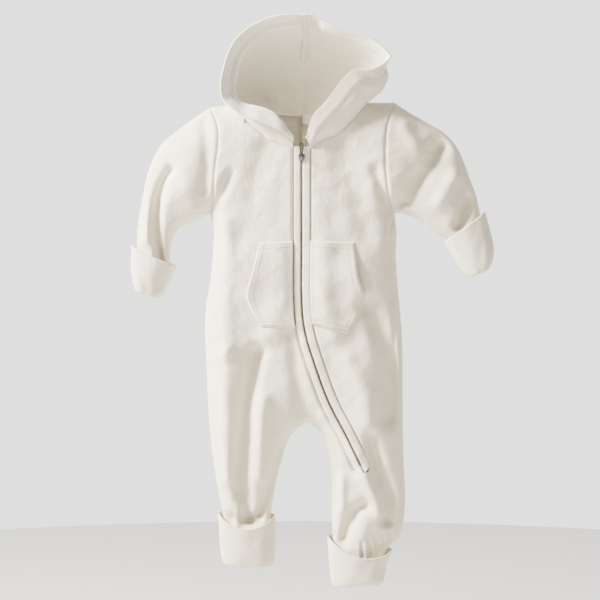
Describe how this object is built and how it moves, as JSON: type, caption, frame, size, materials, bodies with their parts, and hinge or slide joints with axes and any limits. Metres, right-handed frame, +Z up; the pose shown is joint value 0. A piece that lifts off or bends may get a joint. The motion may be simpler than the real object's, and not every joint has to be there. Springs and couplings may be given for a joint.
{
  "type": "hooded baby coverall",
  "caption": "Hooded zip-front baby coverall in sweatshirt fabric with a split pocket and turned-up mitt and foot cuffs, hanging by its shoulders.",
  "frame": {"origin": "hanger seat: shoulder height, middle of the width and of the depth", "axes": "+Z up, the front faces -Y, +X is the wearer's left"},
  "size_m": [0.4694, 0.0828, 0.738],
  "materials": {
    "body_fabric": "soft brushed cotton sweatshirt, off-white",
    "hood_fabric": "soft brushed cotton sweatshirt, off-white",
    "pocket_fabric": "soft brushed cotton sweatshirt, twin-needle stitched",
    "welt_fabric": "folded cotton jersey",
    "cuff_fabric": "double cotton jersey, off-white",
    "zip_tape": "woven tape, cream",
    "zip_teeth": "moulded coil, tan",
    "zip_metal": "nickel plated",
    "zip_pull": "dark nickel wire",
    "label_satin": "woven satin, blank"
  },
  "bodies": {
    "torso": {"front_right_panel": "body_fabric", "front_left_panel": "body_fabric", "back_right_panel": "body_fabric", "back_left_panel": "body_fabric", "right_pocket": "pocket_fabric", "left_pocket": "pocket_fabric", "zip_welt_right_upper": "welt_fabric", "zip_welt_left_upper": "welt_fabric", "zip_teeth_right_upper": "zip_teeth", "zip_teeth_left_upper": "zip_teeth", "zip_tape_right_upper": "zip_tape", "zip_tape_left_upper": "zip_tape", "zip_top_stop_right": "zip_metal", "zip_top_stop_left": "zip_metal", "size_label": "label_satin"},
    "zip_slider": {"zip_slider": "zip_metal"},
    "zip_pull": {"zip_pull": "zip_pull"},
    "hood": {"hood_right_panel": "hood_fabric", "hood_left_panel": "hood_fabric"},
    "right_sleeve": {"right_sleeve_front": "body_fabric", "right_sleeve_back": "body_fabric", "right_mitt_cuff": "cuff_fabric"},
    "left_sleeve": {"left_sleeve_front": "body_fabric", "left_sleeve_back": "body_fabric", "left_mitt_cuff": "cuff_fabric"},
    "right_leg": {"right_leg_front": "body_fabric", "right_leg_back": "body_fabric", "right_foot_cuff": "cuff_fabric"},
    "left_leg": {"left_leg_front_inner": "body_fabric", "left_leg_front_outer": "body_fabric", "left_leg_back": "body_fabric", "left_foot_cuff": "cuff_fabric", "zip_welt_right_lower": "welt_fabric", "zip_welt_left_lower": "welt_fabric", "zip_teeth_right_lower": "zip_teeth", "zip_teeth_left_lower": "zip_teeth", "zip_tape_right_lower": "zip_tape", "zip_tape_left_lower": "zip_tape", "zip_bottom_stop": "zip_metal"}
  },
  "joints": [
    {"name": "slider_travel", "type": "slide", "parent": "torso", "child": "zip_slider", "axis": [0, 0, -1], "range_m": [0, 0.165]},
    {"name": "pull_flip", "type": "hinge", "parent": "zip_slider", "child": "zip_pull", "pos_m": [-0.0007, -0.0313, -0.0695], "axis": [1, 0, 0], "range_deg": [0, 165]},
    {"name": "hood_back", "type": "hinge", "parent": "torso", "child": "hood", "pos_m": [0, 0.029, -0.012], "axis": [-1, 0, 0], "range_deg": [0, 70]},
    {"name": "right_sleeve_swing", "type": "hinge", "parent": "torso", "child": "right_sleeve", "pos_m": [-0.12, 0, -0.072], "axis": [-1, 0, 0], "range_deg": [-30, 60]},
    {"name": "left_sleeve_swing", "type": "hinge", "parent": "torso", "child": "left_sleeve", "pos_m": [0.12, 0, -0.072], "axis": [-1, 0, 0], "range_deg": [-30, 60]},
    {"name": "right_leg_swing", "type": "hinge", "parent": "torso", "child": "right_leg", "pos_m": [-0.06, 0, -0.378], "axis": [-1, 0, 0], "range_deg": [-15, 30]},
    {"name": "left_leg_swing", "type": "hinge", "parent": "torso", "child": "left_leg", "pos_m": [0.068, 0, -0.378], "axis": [-1, 0, 0], "range_deg": [-15, 30]}
  ]
}
